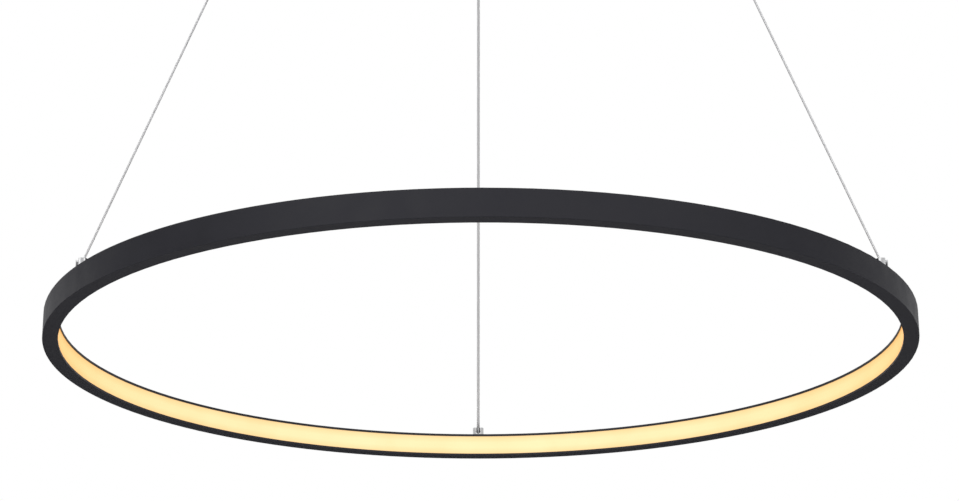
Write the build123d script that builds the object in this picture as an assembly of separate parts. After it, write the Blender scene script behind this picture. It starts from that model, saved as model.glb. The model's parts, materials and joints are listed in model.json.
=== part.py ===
from build123d import *
from math import atan2, cos, degrees, hypot, radians, sin, sqrt, tan
import os

# Ring: an aluminium channel rolled into a circle, open towards its centre
ring_diameter = 800.0
profile_height = 24.0
profile_depth = 14.0
flange_thickness = 2.4
web_thickness = 1.5
edge_round = 0.5
diffuser_recess = 1.0
diffuser_thickness = 1.4
groove_depth = 0.8
groove_play = 0.1

# Light source on the inside of the channel's web
strip_film = 0.1
strip_thickness = 0.4
strip_width = 10.0
strip_gap_degrees = 1.0
strip_lead_in_degrees = 0.8
chip_count = 96
chip_length = 3.5
chip_width = 2.8
chip_thickness = 0.7

# Suspension: three taut lines from the canopy to the ring
drop = 790.0
exit_inset = 20.0
line_azimuths = {"back": 90.0, "left": 210.0, "right": 330.0}
feed_line = "back"
tail_length = 8.0
wire_diameter = 2.0
feed_diameter = 3.2
feed_wall = 0.35
core_diameter = 0.9
conductor_diameter = 0.75
conductor_tail = 12.0

# Anchors on the ring's top: a slotted stud, a cross pin and a ferrule on the line's end
stud_diameter = 11.6
stud_flats = 8.4
stud_height = 8.0
slot_floor = 1.4
thread_diameter = 5.0
stud_bore = 3.0
pin_diameter = 1.6
pin_height = 4.4
pin_inset = 0.2
ferrule_diameter = 4.2
ferrule_length = 4.6
ferrule_seat = 2.0
nut_flats = 8.0
nut_height = 3.2
thread_past_nut = 1.6
ring_lead_diameter = 0.7
ring_lead_bend = 2.0
bush_diameter = 2.7
bush_bore = 2.2
bush_depth = 3.0
bush_collar_diameter = 4.0
bush_collar = 0.4
bush_lift = 0.1

# Swivel in the canopy's floor: a ball in a lined socket
ball_diameter = 13.0
liner_thickness = 0.8
liner_rise = 2.5
socket_wall = 1.4
socket_flange = 2.2
socket_thread_rise = 6.0
pivot_below_canopy = 1.5
swivel_degrees = 35.0
socket_nut_flats = 21.0
socket_nut_height = 4.0

# Gripper under the ball: barrel, screwed nose, jaws, spring and release plunger
neck_diameter = 5.2
barrel_top = 11.0
barrel_diameter = 11.2
barrel_length = 18.0
barrel_wall = 1.0
barrel_roof = 2.0
nose_plug = 7.0
nose_flange = 3.0
jaw_length = 6.0
jaw_foot_diameter = 5.6
jaw_degrees = 8.0
jaw_slit = 0.5
plunger_diameter = 4.6
plunger_collar = 0.8
plunger_reach = 5.0
plunger_button = 1.8
plunger_button_diameter = 7.0
spring_wire = 0.5
spring_diameter = 6.6
spring_turns = 4

# Canopy and the bracket that carries it
canopy_diameter = 200.0
canopy_height = 36.0
canopy_wall = 1.2
canopy_round = 5.0
bracket_width = 24.0
bracket_thickness = 1.5
ear_length = 14.0
ceiling_slot_spacing = 70.0
ceiling_slot_length = 14.0
ceiling_slot_width = 4.5
canopy_screw_diameter = 4.0
canopy_screw_depth = 8.0
canopy_screw_length = 9.0

# Driver on the canopy's floor and mains terminal under the bracket
driver_width = 44.0
driver_height = 24.0
driver_wall = 1.5
cover_lip = 2.0
tab_length = 10.0
tab_width = 20.0
tab_thickness = 2.0
board_thickness = 1.6
board_margin = 4.0
standoff_height = 3.0
standoff_diameter = 5.0
transformer_length = 24.0
transformer_width = 20.0
transformer_height = 13.0
capacitor_diameter = 10.0
capacitor_height = 12.5
terminal_length = 16.0
terminal_width = 24.0
terminal_height = 14.0
terminal_gap = 3.0
terminal_pitch = 8.0
terminal_screw_diameter = 3.2
terminal_screw_sink = 5.0
terminal_screw_spacing = 8.0
entry_depth = 3.0
small_screw_diameter = 3.0
small_head_diameter = 5.6
small_head_height = 1.8
small_nut_flats = 5.5
small_nut_height = 2.4
weld_stud_rise = 1.5
head_diameter = 7.0
head_height = 2.4
mains_lead_diameter = 2.2
mains_lead_bend = 3.0
lead_diameter = 1.4
lead_bend = 6.0
lead_level = 19.0
splice_diameter = 1.5
splice_length = 5.4

# Clearances
running_fit = 0.05
body_gap = 0.3
press_room = 0.02

# Values that follow from the sizes above
ring_radius = ring_diameter / 2
anchor_radius = ring_radius - profile_depth / 2
canopy_radius = canopy_diameter / 2
exit_radius = canopy_radius - exit_inset
canopy_floor = -canopy_height
pivot_level = canopy_floor - pivot_below_canopy
pin_level = pivot_level - drop
ring_top = pin_level - pin_height
ring_bottom = ring_top - profile_height
ring_middle = ring_top - profile_height / 2
line_reach = anchor_radius - exit_radius
line_tilt = degrees(atan2(line_reach, drop))
line_length = hypot(line_reach, drop)
ball_radius = ball_diameter / 2
liner_bore = ball_radius + running_fit
liner_radius = liner_bore + liner_thickness
seat_radius = liner_radius + running_fit
neck_radius = neck_diameter / 2
tilt_slope = tan(radians(swivel_degrees))
neck_spread = neck_radius / cos(radians(swivel_degrees))
mouth_root = (1 + tilt_slope**2) * liner_bore**2 - neck_spread**2
mouth_drop = (sqrt(mouth_root) - tilt_slope * neck_spread) / (1 + tilt_slope**2)
barrel_end = barrel_top + barrel_length
jaw_foot = barrel_end
jaw_top = jaw_foot - jaw_length
jaw_spread = jaw_length * tan(radians(jaw_degrees))
nose_end = barrel_end + nose_flange
cavity_top = barrel_top + barrel_roof
slot_width = ferrule_diameter + 2 * body_gap
canopy_inside = canopy_radius - canopy_wall
bracket_reach = sqrt(canopy_inside**2 - (bracket_width / 2) ** 2) - body_gap
floor_top = canopy_floor + canopy_wall
driver_rim = floor_top + driver_height - driver_wall
board_level = floor_top + driver_wall + standoff_height
board_top = board_level + board_thickness
screw_tip = canopy_radius - canopy_screw_length
earth_screw_offset = screw_tip - body_gap - head_diameter / 2
terminal_low = -bracket_thickness - terminal_height
terminal_middle = screw_tip - body_gap - terminal_length / 2
terminal_start = terminal_middle - terminal_length / 2
driver_length = 2 * (terminal_start - terminal_gap - tab_length)
tab_offset = driver_length / 2 + tab_length / 2


def lathe(*outline, arc=360):
    """Turn an outline of (radius, height) points about the Z axis."""
    face = make_face(Polyline(*outline, close=True))
    return revolve(Plane.XZ * face, axis=Axis.Z, revolution_arc=arc)


def rod(diameter, low, high):
    """An upright cylinder between two heights."""
    return Pos(0, 0, (low + high) / 2) * Cylinder(diameter / 2, high - low)


def block(x, y, z, length, width, height):
    """A box with its middle at x and y and its underside at z."""
    return Pos(x, y, z + height / 2) * Box(length, width, height)


def hexagon(flats, low, high):
    """A hexagonal prism between two heights."""
    return Pos(0, 0, low) * extrude(RegularPolygon(flats / 2, 6, major_radius=False), high - low)


def on_line(name):
    """The frame of a suspension line: its pivot is the origin and the line runs down local -Z."""
    return Rot(0, 0, line_azimuths[name]) * Pos(exit_radius, 0, pivot_level) * Rot(0, -line_tilt, 0)


def on_ring(azimuth, level=0.0):
    """A place on the anchors' circle, with local X pointing outwards."""
    return Rot(0, 0, azimuth) * Pos(anchor_radius, 0, level)


def on_canopy(azimuth, level=0.0):
    """A place on the swivels' circle, with local X pointing outwards."""
    return Rot(0, 0, azimuth) * Pos(exit_radius, 0, level)


def pan_screw(diameter, length, cap_diameter, cap_height):
    """A screw that points up from the origin, with its head below."""
    return rod(diameter, 0, length) + rod(cap_diameter, -cap_height, 0)


def tube_along(path, diameter):
    """A round cord along a path."""
    start = path @ 0
    heading = path % 0
    return sweep(Plane(origin=start, z_dir=heading) * Circle(diameter / 2), path=path)


def line_diameter(name):
    """The diameter of a suspension line."""
    return feed_diameter if name == feed_line else wire_diameter


def ring_channel():
    """The rolled channel with rounded outer edges, diffuser grooves and the three stud holes."""
    inner = ring_radius - profile_depth
    web = ring_radius - web_thickness
    low, high = ring_bottom + flange_thickness, ring_top - flange_thickness
    groove_in = inner + diffuser_recess - groove_play
    groove_out = inner + diffuser_recess + diffuser_thickness + groove_play
    outline = Polyline(
        (inner, ring_bottom),
        (ring_radius, ring_bottom),
        (ring_radius, ring_top),
        (inner, ring_top),
        (inner, high),
        (groove_in, high),
        (groove_in, high + groove_depth),
        (groove_out, high + groove_depth),
        (groove_out, high),
        (web, high),
        (web, low),
        (groove_out, low),
        (groove_out, low - groove_depth),
        (groove_in, low - groove_depth),
        (groove_in, low),
        (inner, low),
        close=True,
    )
    face = make_face(outline)
    corners = [v for v in face.vertices() if v.Y in (ring_bottom, ring_top)]
    ring = revolve(Plane.XZ * fillet(corners, edge_round), axis=Axis.Z)
    hole = rod(thread_diameter + 2 * running_fit, high, ring_top)
    for azimuth in line_azimuths.values():
        ring -= on_ring(azimuth) * hole
    return ring


def diffuser():
    """The opal band that stands in the channel's grooves."""
    face = ring_radius - profile_depth + diffuser_recess
    back = face + diffuser_thickness
    low = ring_bottom + flange_thickness - groove_depth
    high = ring_top - flange_thickness + groove_depth - groove_play
    return lathe((face, low), (back, low), (back, high), (face, high))


def led_strip():
    """The flexible circuit strip on the web, with its ends a little apart beside the feed."""
    back = ring_radius - web_thickness - strip_film
    face = back - strip_thickness
    low, high = ring_middle - strip_width / 2, ring_middle + strip_width / 2
    band = lathe((face, low), (back, low), (back, high), (face, high), arc=360 - strip_gap_degrees)
    return Rot(0, 0, line_azimuths[feed_line] - strip_lead_in_degrees) * band


def led_chips():
    """The row of light-emitting packages on the strip, clear of the strip's ends."""
    pitch = 360 / chip_count
    face = ring_radius - web_thickness - strip_film - strip_thickness
    seat = sqrt(face**2 - (chip_length / 2) ** 2) - press_room
    chip = Pos(seat - chip_thickness / 2, 0, ring_middle) * Box(chip_thickness, chip_length, chip_width)
    first = line_azimuths[feed_line] + pitch / 2
    return [Rot(0, 0, first + number * pitch) * chip for number in range(chip_count)]


def anchor_stud():
    """A stud with spanner flats, a radial slot for the line's ferrule, a cross hole and a hollow shank."""
    shank_end = -flange_thickness - nut_height - thread_past_nut
    head = rod(stud_diameter, 0, stud_height) & block(0, 0, 0, stud_flats, stud_diameter, stud_height)
    stud = head + rod(thread_diameter, shank_end, 0)
    stud -= rod(stud_bore, shank_end, stud_height)
    stud -= block(0, 0, slot_floor, stud_diameter, slot_width, stud_height)
    stud -= Pos(0, 0, pin_height) * Rot(90, 0, 0) * Cylinder(pin_diameter / 2 + running_fit, stud_diameter)
    return stud


def anchor_studs():
    """The three studs that stand on the ring."""
    return [on_ring(azimuth, ring_top) * anchor_stud() for azimuth in line_azimuths.values()]


def anchor_nuts():
    """The nuts inside the channel that hold the studs."""
    top = ring_top - flange_thickness
    nut = Rot(0, 0, 30) * hexagon(nut_flats, top - nut_height, top)
    nut -= rod(thread_diameter, top - nut_height, top)
    return [on_ring(azimuth) * nut for azimuth in line_azimuths.values()]


def anchor_pin(name):
    """The cross pin of one stud, along the ring's tangent."""
    pin = Rot(90, 0, 0) * Cylinder(pin_diameter / 2, stud_diameter - 2 * pin_inset)
    return on_ring(line_azimuths[name], pin_level) * pin


def line_ferrule(name):
    """The crimped end of a line, with a rounded foot that turns on the cross pin."""
    foot = -line_length
    ferrule = rod(ferrule_diameter, foot, foot + ferrule_length)
    ferrule += Pos(0, 0, foot) * Sphere(ferrule_diameter / 2)
    ferrule -= rod(line_diameter(name) + 2 * running_fit, foot + ferrule_seat, foot + ferrule_length)
    ferrule -= Pos(0, 0, foot) * Rot(90, 0, 0) * Cylinder(pin_diameter / 2 + running_fit, ferrule_diameter)
    return on_line(name) * ferrule


def lead_bush():
    """The collared bush at the mouth of the hollow stud, which keeps the leads off its edge."""
    collar = slot_floor + bush_lift
    bush = rod(bush_diameter, -bush_depth, collar) + rod(bush_collar_diameter, collar, collar + bush_collar)
    bush -= rod(bush_bore, -bush_depth, collar + bush_collar)
    return on_ring(line_azimuths[feed_line], ring_top) * bush


def ring_leads():
    """The two leads that come down the hollow stud and turn out to the strip's pads."""
    start = pin_level - ferrule_diameter / 2 - body_gap
    pads = ring_radius - web_thickness - strip_film - strip_thickness - running_fit - anchor_radius
    room = (bush_bore - ring_lead_diameter) / 2
    leads = []
    for side in (-room / 2, room / 2):
        corners = [(0, side, start), (0, side, ring_middle), (pads, side, ring_middle)]
        lead = tube_along(FilletPolyline(*corners, radius=ring_lead_bend), ring_lead_diameter)
        leads.append(on_ring(line_azimuths[feed_line]) * lead)
    return leads


def suspension_wire(name):
    """A bare steel line from its tail above the swivel to its ferrule."""
    return on_line(name) * rod(wire_diameter, ferrule_seat + running_fit - line_length, conductor_tail)


def feed_foot():
    """How far down the feed line its sheath, core and conductors reach."""
    return ferrule_seat + running_fit - line_length


def feed_sheath():
    """The clear sheath of the feed line."""
    sheath = rod(feed_diameter, feed_foot(), tail_length)
    return on_line(feed_line) * (sheath - rod(feed_diameter - 2 * feed_wall, feed_foot(), tail_length))


def feed_core():
    """The steel core that carries the load of the feed line."""
    return on_line(feed_line) * rod(core_diameter, feed_foot(), tail_length)


def conductor_offset():
    """How far each conductor lies from the feed line's middle."""
    return (core_diameter + conductor_diameter) / 2 + press_room


def feed_conductors():
    """The two conductors on either side of the core."""
    conductor = rod(conductor_diameter, feed_foot(), conductor_tail)
    return [on_line(feed_line) * Pos(0, side * conductor_offset(), 0) * conductor for side in (-1, 1)]


def swivel_socket():
    """The lined ball's socket, flanged under the canopy and threaded above it."""
    thread = seat_radius + socket_wall
    top = canopy_floor + canopy_wall + socket_thread_rise - pivot_level
    under = canopy_floor - pivot_level
    socket = rod(2 * thread, -mouth_drop, top) + rod(2 * (thread + socket_flange), -mouth_drop, under)
    socket -= rod(2 * seat_radius, 0, top)
    return socket - Sphere(seat_radius)


def swivel_sockets():
    """The three sockets in the canopy's floor."""
    return [on_canopy(azimuth, pivot_level) * swivel_socket() for azimuth in line_azimuths.values()]


def socket_nuts():
    """The nuts inside the canopy that hold the sockets."""
    low = canopy_floor + canopy_wall
    nut = hexagon(socket_nut_flats, low, low + socket_nut_height)
    nut -= rod(2 * (seat_radius + socket_wall), low, low + socket_nut_height)
    return [on_canopy(azimuth) * nut for azimuth in line_azimuths.values()]


def swivel_liner(name):
    """The thin plastic cup between the ball and its socket."""
    shell = Sphere(liner_radius) - Sphere(liner_bore)
    cup = shell & rod(2 * seat_radius, -mouth_drop, liner_rise)
    return on_canopy(line_azimuths[name], pivot_level) * cup


def gripper_body(name):
    """Ball, neck and barrel in one piece, bored for the line and open below for the nose."""
    bore = line_diameter(name) + 2 * body_gap
    body = Sphere(ball_radius) + rod(neck_diameter, -barrel_top, 0)
    body += rod(barrel_diameter, -barrel_end, -barrel_top)
    body -= rod(bore, -barrel_end, ball_radius)
    body -= rod(barrel_diameter - 2 * barrel_wall, -barrel_end, -cavity_top)
    return on_line(name) * body


def gripper_nose(name):
    """The screwed nose, with the cone that closes the jaws and the hole that guides the plunger."""
    plug = barrel_diameter / 2 - barrel_wall
    foot = jaw_foot_diameter / 2
    guide = plunger_diameter / 2 + running_fit
    shelf = jaw_foot + plunger_collar
    wide = foot + nose_plug * tan(radians(jaw_degrees))
    nose = lathe(
        (guide, -nose_end),
        (barrel_diameter / 2, -nose_end),
        (barrel_diameter / 2, -barrel_end),
        (plug, -barrel_end),
        (plug, nose_plug - barrel_end),
        (wide, nose_plug - barrel_end),
        (foot, -jaw_foot),
        (foot, -shelf),
        (guide, -shelf),
    )
    return on_line(name) * nose


def gripper_jaws(name):
    """Three wedge jaws round the line, seated in the nose's cone."""
    hold = line_diameter(name) / 2 + press_room
    foot = jaw_foot_diameter / 2 - running_fit
    cone = lathe((hold, -jaw_foot), (foot, -jaw_foot), (foot + jaw_spread, -jaw_top), (hold, -jaw_top))
    for number in range(3):
        slit = Pos(barrel_diameter / 2, 0, 0) * Box(barrel_diameter, jaw_slit, 2 * nose_end)
        cone -= Rot(0, 0, 120 * number) * slit
    return [on_line(name) * jaw for jaw in cone.solids()]


def gripper_plunger(name):
    """The release plunger: a collared tube with a button at its foot, which slides up the line."""
    hold = line_diameter(name) / 2 + body_gap
    collar = jaw_foot_diameter / 2 - running_fit
    shelf = jaw_foot + plunger_collar
    end = nose_end + plunger_reach
    plunger = lathe(
        (hold, -jaw_foot),
        (collar, -jaw_foot),
        (collar, -shelf),
        (plunger_diameter / 2, -shelf),
        (plunger_diameter / 2, plunger_button - end),
        (plunger_button_diameter / 2, plunger_button - end),
        (plunger_button_diameter / 2, -end),
        (hold, -end),
    )
    return on_line(name) * plunger


def gripper_spring(name):
    """The coil spring that pushes the jaws down into the cone."""
    room = jaw_top - cavity_top - spring_wire
    middle = (spring_diameter - spring_wire) / 2
    coil = Helix(room / spring_turns, room, middle)
    wire = sweep(Plane(origin=coil @ 0, z_dir=coil % 0) * Circle(spring_wire / 2), path=coil, is_frenet=True)
    return on_line(name) * Pos(0, 0, spring_wire / 2 - jaw_top) * wire


def canopy_cup():
    """The round cup against the ceiling, with holes for the sockets and the two side screws."""
    cup = Pos(0, 0, canopy_floor / 2) * Cylinder(canopy_radius, canopy_height)
    cup = fillet(cup.edges().group_by(Axis.Z)[0], canopy_round)
    hollow = Pos(0, 0, floor_top / 2) * Cylinder(canopy_inside, -floor_top)
    cup -= fillet(hollow.edges().group_by(Axis.Z)[0], canopy_round - canopy_wall)
    hole = rod(2 * (seat_radius + socket_wall + running_fit), canopy_floor, canopy_floor + canopy_wall)
    for azimuth in line_azimuths.values():
        cup -= on_canopy(azimuth) * hole
    screw_hole = Cylinder(canopy_screw_diameter / 2 + running_fit, canopy_diameter)
    cup -= Pos(0, 0, -canopy_screw_depth) * Rot(0, 90, 0) * screw_hole
    stud_top = floor_top + tab_thickness + small_nut_height + weld_stud_rise
    for side in (-1, 1):
        cup += Pos(side * tab_offset, 0, 0) * rod(small_screw_diameter, floor_top, stud_top)
    return cup


def mounting_bracket():
    """The ceiling strap: slots for the ceiling screws, ears for the canopy, threads for what it carries."""
    strap = block(0, 0, -bracket_thickness, 2 * bracket_reach, bracket_width, bracket_thickness)
    ear_screw = Pos(0, 0, -canopy_screw_depth) * Rot(0, 90, 0)
    for side in (-1, 1):
        ear_middle = side * (bracket_reach - bracket_thickness / 2)
        strap += block(ear_middle, 0, -ear_length, bracket_thickness, bracket_width, ear_length)
        slot = extrude(SlotOverall(ceiling_slot_length, ceiling_slot_width), bracket_thickness)
        strap -= Pos(side * ceiling_slot_spacing / 2, 0, -bracket_thickness) * slot
    strap -= ear_screw * Cylinder(canopy_screw_diameter / 2, 2 * bracket_reach)
    strap -= Pos(terminal_middle, 0, 0) * rod(small_screw_diameter, -bracket_thickness, 0)
    strap -= Pos(-earth_screw_offset, 0, 0) * rod(canopy_screw_diameter, -bracket_thickness, 0)
    return strap


def canopy_screws():
    """The two screws that hold the cup to the bracket's ears."""
    screw = pan_screw(canopy_screw_diameter, canopy_screw_length, head_diameter, head_height)
    place = Pos(canopy_radius, 0, -canopy_screw_depth) * Rot(0, -90, 0)
    return [place * screw, Rot(0, 0, 180) * place * screw]


def earth_screw():
    """The earth screw in the bracket."""
    screw = pan_screw(canopy_screw_diameter, bracket_thickness, head_diameter, head_height)
    return Pos(-earth_screw_offset, 0, -bracket_thickness) * screw


def terminal_fixing():
    """The screw that holds the terminal to the bracket."""
    screw = pan_screw(small_screw_diameter, -terminal_low, small_head_diameter, small_head_height)
    return Pos(terminal_middle, 0, terminal_low) * screw


def driver_nuts():
    """The nuts that hold the driver's tabs on the cup's weld studs."""
    low = floor_top + tab_thickness
    nut = hexagon(small_nut_flats, low, low + small_nut_height)
    nut -= rod(small_screw_diameter, low, low + small_nut_height)
    return [Pos(side * tab_offset, 0, 0) * nut for side in (-1, 1)]


def lead_entry(x, y, level, along_x, diameter):
    """A cutter for a lead that passes a wall along X or Y."""
    turn = Rot(0, 90, 0) if along_x else Rot(90, 0, 0)
    return Pos(x, y, level) * turn * Cylinder(diameter / 2 + running_fit, 2 * entry_depth)


def driver_lead_level():
    """The height of the mains leads where they enter the driver."""
    return floor_top + driver_height / 2


def driver_case():
    """The driver's tray, with end tabs, board standoffs and lead holes."""
    height = driver_height - driver_wall
    inside_length, inside_width = driver_length - 2 * driver_wall, driver_width - 2 * driver_wall
    case = block(0, 0, floor_top, driver_length, driver_width, height)
    case -= block(0, 0, floor_top + driver_wall, inside_length, inside_width, height)
    for side in (-1, 1):
        tab = block(side * tab_offset, 0, floor_top, tab_length, tab_width, tab_thickness)
        hole = rod(small_screw_diameter + 2 * running_fit, floor_top, floor_top + tab_thickness)
        case += tab - Pos(side * tab_offset, 0, 0) * hole
        for end in (-1, 1):
            x = side * (inside_length / 2 - board_margin - standoff_diameter / 2)
            y = end * (inside_width / 2 - board_margin - standoff_diameter / 2)
            case += Pos(x, y, 0) * rod(standoff_diameter, floor_top + driver_wall, board_level)
        pole = side * terminal_pitch
        case -= lead_entry(driver_length / 2, pole, driver_lead_level(), True, mains_lead_diameter)
        case -= lead_entry(side * conductor_offset(), driver_width / 2, -lead_level, False, lead_diameter)
    return case


def driver_cover():
    """The driver's lid, with a lip inside the tray."""
    cover = block(0, 0, driver_rim, driver_length, driver_width, driver_wall)
    length = driver_length - 2 * driver_wall - 2 * running_fit
    width = driver_width - 2 * driver_wall - 2 * running_fit
    lip = block(0, 0, driver_rim - cover_lip, length, width, cover_lip)
    lip -= block(0, 0, driver_rim - cover_lip, length - 2 * driver_wall, width - 2 * driver_wall, cover_lip)
    return cover + lip


def driver_board():
    """The circuit board on its standoffs."""
    length = driver_length - 2 * driver_wall - board_margin
    width = driver_width - 2 * driver_wall - board_margin
    return block(0, 0, board_level, length, width, board_thickness)


def driver_transformer():
    """The wound block on the board."""
    return block(0, 0, board_top, transformer_length, transformer_width, transformer_height)


def driver_capacitors():
    """The two smoothing cans on the board, one on each side of the transformer."""
    reach = transformer_length / 2 + capacitor_diameter
    can = rod(capacitor_diameter, board_top, board_top + capacitor_height)
    return [Pos(side * reach, 0, 0) * can for side in (-1, 1)]


def terminal_places():
    """Where the terminal's clamp screws stand: (x, y) of each."""
    return [
        (terminal_middle + end * terminal_screw_spacing / 2, pole * terminal_pitch)
        for end in (-1, 1)
        for pole in (-1, 1)
    ]


def terminal_block():
    """The mains terminal, with screw wells below and lead entries towards the driver."""
    terminal = block(terminal_middle, 0, terminal_low, terminal_length, terminal_width, terminal_height)
    well = rod(terminal_screw_diameter, terminal_low, terminal_low + terminal_screw_sink)
    for x, y in terminal_places():
        terminal -= Pos(x, y, 0) * well
    fixing = rod(small_screw_diameter + 2 * running_fit, terminal_low, terminal_low + terminal_height)
    terminal -= Pos(terminal_middle, 0, 0) * fixing
    level = terminal_low + terminal_height / 2
    for pole in (-terminal_pitch, terminal_pitch):
        terminal -= lead_entry(terminal_start, pole, level, True, mains_lead_diameter)
    return terminal


def terminal_screws():
    """The clamp screws in the terminal's wells."""
    top = terminal_low + terminal_screw_sink
    screw = rod(terminal_screw_diameter, top - terminal_screw_sink / 2, top)
    return [Pos(x, y, 0) * screw for x, y in terminal_places()]


def mains_leads():
    """The two short leads that step down from the terminal to the driver."""
    high, low = terminal_low + terminal_height / 2, driver_lead_level()
    start, end = terminal_start + entry_depth, driver_length / 2 - entry_depth
    middle = (terminal_start + driver_length / 2) / 2
    leads = []
    for pole in (-terminal_pitch, terminal_pitch):
        corners = [(start, pole, high), (middle, pole, high), (middle, pole, low), (end, pole, low)]
        leads.append(tube_along(FilletPolyline(*corners, radius=mains_lead_bend), mains_lead_diameter))
    return leads


def up_the_line(distance, side):
    """A point above the feed line's pivot, on one conductor, as x, y and z."""
    tilt = radians(line_tilt)
    return (side * conductor_offset(), exit_radius - distance * sin(tilt), pivot_level + distance * cos(tilt))


def supply_leads():
    """The two low-voltage leads from the driver's side to the feed line's splices."""
    corner = (-lead_level - pivot_level) / cos(radians(line_tilt))
    foot = conductor_tail + splice_length / 2
    leads = []
    for side in (-1, 1):
        start = (side * conductor_offset(), driver_width / 2 - entry_depth, -lead_level)
        path = FilletPolyline(start, up_the_line(corner, side), up_the_line(foot, side), radius=lead_bend)
        leads.append(tube_along(path, lead_diameter))
    return leads


def lead_splices():
    """The two crimped sleeves that join the leads to the feed line's conductors."""
    low = conductor_tail - splice_length / 2
    splice = rod(splice_diameter, low, conductor_tail + splice_length / 2 - running_fit)
    splice -= rod(conductor_diameter + 2 * running_fit, low, conductor_tail + running_fit)
    return [on_line(feed_line) * Pos(0, side * conductor_offset(), 0) * splice for side in (-1, 1)]


nodes = {
    "ring_channel": ring_channel(),
    "diffuser": diffuser(),
    "led_strip": led_strip(),
    "led_chips": led_chips(),
    "ring_leads": ring_leads(),
    "lead_bush": lead_bush(),
    "anchor_studs": anchor_studs(),
    "anchor_nuts": anchor_nuts(),
    "feed_sheath": feed_sheath(),
    "feed_core": feed_core(),
    "feed_conductors": feed_conductors(),
    "swivel_sockets": swivel_sockets(),
    "socket_nuts": socket_nuts(),
    "canopy_cup": canopy_cup(),
    "canopy_screws": canopy_screws(),
    "mounting_bracket": mounting_bracket(),
    "earth_screw": earth_screw(),
    "terminal_fixing": terminal_fixing(),
    "driver_nuts": driver_nuts(),
    "driver_case": driver_case(),
    "driver_cover": driver_cover(),
    "driver_board": driver_board(),
    "driver_transformer": driver_transformer(),
    "driver_capacitors": driver_capacitors(),
    "terminal_block": terminal_block(),
    "terminal_screws": terminal_screws(),
    "mains_leads": mains_leads(),
    "supply_leads": supply_leads(),
    "lead_splices": lead_splices(),
}
for line in line_azimuths:
    nodes["anchor_pin_" + line] = anchor_pin(line)
    nodes["line_ferrule_" + line] = line_ferrule(line)
    nodes["swivel_liner_" + line] = swivel_liner(line)
    nodes["gripper_body_" + line] = gripper_body(line)
    nodes["gripper_nose_" + line] = gripper_nose(line)
    nodes["gripper_jaws_" + line] = gripper_jaws(line)
    nodes["gripper_plunger_" + line] = gripper_plunger(line)
    nodes["gripper_spring_" + line] = gripper_spring(line)
    if line != feed_line:
        nodes["suspension_wire_" + line] = suspension_wire(line)

os.makedirs("parts", exist_ok=True)
for name, shape in nodes.items():
    export_step(Compound(shape) if isinstance(shape, list) else shape, f"parts/{name}.step")

print(f"line tilt {line_tilt:.3f} degrees, line length {line_length:.2f} mm, pivot at {pivot_level:.2f} mm")
print(f"ring top {ring_top:.2f} mm, ring bottom {ring_bottom:.2f} mm, mouth drop {mouth_drop:.3f} mm")
print(f"lead bends {lead_bend} and {mains_lead_bend} mm in the canopy, {ring_lead_bend} mm in the ring")
print(f"spring gap between turns {(jaw_top - cavity_top - spring_wire) / spring_turns - spring_wire:.2f} mm")
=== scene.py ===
"""Looks of a ring pendant light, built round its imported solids."""

import json
import logging
import math
from collections.abc import Sequence
from dataclasses import dataclass
from enum import Enum

import bpy
import numpy as np
from mathutils import Matrix, Vector


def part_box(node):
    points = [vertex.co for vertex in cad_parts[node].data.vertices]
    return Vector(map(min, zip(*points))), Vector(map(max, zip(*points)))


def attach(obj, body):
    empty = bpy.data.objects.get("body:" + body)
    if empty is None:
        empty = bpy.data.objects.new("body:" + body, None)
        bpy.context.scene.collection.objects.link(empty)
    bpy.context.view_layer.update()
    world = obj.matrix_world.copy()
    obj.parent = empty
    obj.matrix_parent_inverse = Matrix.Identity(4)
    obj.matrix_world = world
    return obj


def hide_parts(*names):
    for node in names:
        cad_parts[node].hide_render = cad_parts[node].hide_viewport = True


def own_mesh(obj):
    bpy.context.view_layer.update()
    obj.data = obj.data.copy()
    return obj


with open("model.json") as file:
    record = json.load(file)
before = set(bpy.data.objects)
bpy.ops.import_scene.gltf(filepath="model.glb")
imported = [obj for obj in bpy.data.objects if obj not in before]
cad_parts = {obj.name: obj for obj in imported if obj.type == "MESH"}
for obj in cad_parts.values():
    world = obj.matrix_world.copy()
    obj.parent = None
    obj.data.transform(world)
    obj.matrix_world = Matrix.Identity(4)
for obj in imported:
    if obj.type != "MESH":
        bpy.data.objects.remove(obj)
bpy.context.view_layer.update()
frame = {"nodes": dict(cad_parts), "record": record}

Colour = tuple[float, float, float]
Place = tuple[float, float, float]
Span = tuple[float, float]
Socket = bpy.types.NodeSocket
Sockets = bpy.types.bpy_prop_collection
Surfaces = dict[str, bpy.types.Material]
log = logging.getLogger("ring_pendant")

PHOTO_WIDTH = 959.0
FULL_TURN = 2 * math.pi
UP = (0.0, 0.0, 1.0)
# Most values of a noise texture lie between these two.
NOISE_BAND = (0.3, 0.7)


def new_mesh(name: str, corners: Sequence[Sequence[float]],
             faces: Sequence[Sequence[int]]) -> bpy.types.Mesh:
    """Make a mesh.

    Args:
        name: its name.
        corners: its points.
        faces: its faces, each as the numbers of its points.

    Returns:
        The mesh.
    """
    mesh = bpy.data.meshes.new(name)
    mesh.from_pydata(corners, [], faces)
    return mesh


def put(name: str, data: bpy.types.ID) -> bpy.types.Object:
    """Put a new object into the scene.

    Args:
        name: its name.
        data: its mesh, lamp or camera.

    Returns:
        The object.
    """
    made = bpy.data.objects.new(name, data)
    bpy.context.scene.collection.objects.link(made)
    return made


class Line(Enum):
    """The three suspension lines, by the side that they hang on, with their azimuths in degrees."""

    BACK = 90.0
    LEFT = 210.0
    RIGHT = 330.0

    @property
    def label(self) -> str:
        """The line's name as the pieces carry it."""
        return self.name.lower()


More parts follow.
